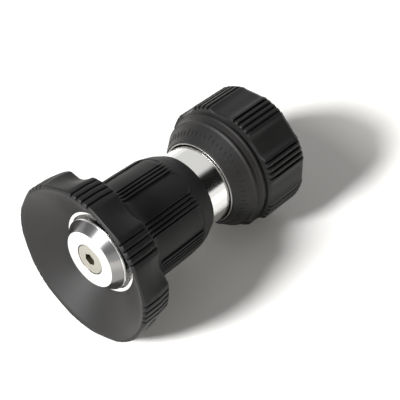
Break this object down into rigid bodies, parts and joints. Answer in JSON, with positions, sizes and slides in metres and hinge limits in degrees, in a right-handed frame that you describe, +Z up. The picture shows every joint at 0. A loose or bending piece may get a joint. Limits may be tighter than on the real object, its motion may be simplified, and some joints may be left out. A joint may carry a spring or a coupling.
{
  "type": "twist hose nozzle",
  "caption": "Twist nozzle for a hose: rubber bell grip on a turning sleeve, polished metal barrel, central deflector and swivel hose nut.",
  "frame": {"origin": "centre of the hose nut's rear face", "axes": "+Y along the nozzle's axis out of the hose inlet, water leaves towards -Y, +Z up through the middle of a grip lobe"},
  "size_m": [0.0764, 0.114, 0.0764],
  "materials": {
    "bell_rubber": "moulded, satin",
    "collar_rubber": "moulded, fine matt texture",
    "barrel_metal": "turned and polished",
    "sleeve_metal": "turned",
    "throat_metal": "polished",
    "deflector_metal": "polished, fine turning marks",
    "screw_steel": "bead blasted",
    "carrier_metal": "cast and machined",
    "stem_brass": "turned",
    "spring_steel": "oiled",
    "nut_metal": "die cast and machined",
    "nose_ring_metal": "polished",
    "seal_rubber": "smooth",
    "washer_rubber": "matt",
    "slide_plastic": "smooth"
  },
  "bodies": {
    "barrel": {"barrel": "barrel_metal", "stem_carrier": "carrier_metal", "carrier_snap_ring": "spring_steel", "deflector_stem": "stem_brass", "stem_nut": "stem_brass", "deflector_head": "deflector_metal", "deflector_screw": "screw_steel", "deflector_o_ring": "seal_rubber", "swivel_o_ring": "seal_rubber"},
    "sleeve_seal": {"sleeve_o_ring": "seal_rubber"},
    "sleeve": {"bell_grip": "bell_rubber", "sleeve_insert": "sleeve_metal", "throat_ring": "throat_metal", "throat_o_ring": "seal_rubber", "sleeve_wiper": "slide_plastic"},
    "swivel": {"coupling_nut": "nut_metal", "coupling_grip": "collar_rubber", "coupling_nose_ring": "nose_ring_metal", "swivel_thrust_washer": "slide_plastic", "swivel_front_washer": "slide_plastic", "swivel_retaining_ring": "spring_steel", "hose_washer": "washer_rubber"}
  },
  "joints": [
    {"name": "sleeve_travel", "type": "slide", "parent": "barrel", "child": "sleeve_seal", "axis": [0, -1, 0], "range_m": [-0.0045, 0.0035]},
    {"name": "sleeve_twist", "type": "hinge", "parent": "sleeve_seal", "child": "sleeve", "pos_m": [0, 0, 0], "axis": [0, -1, 0], "range_deg": [-135, 105]},
    {"name": "nut_swivel", "type": "hinge", "parent": "barrel", "child": "swivel", "pos_m": [0, 0, 0], "axis": [0, -1, 0], "continuous": true}
  ],
  "couplings": [
    {"joint": "sleeve_travel", "follows": "sleeve_twist", "m_per_rad": 0.0019099}
  ]
}
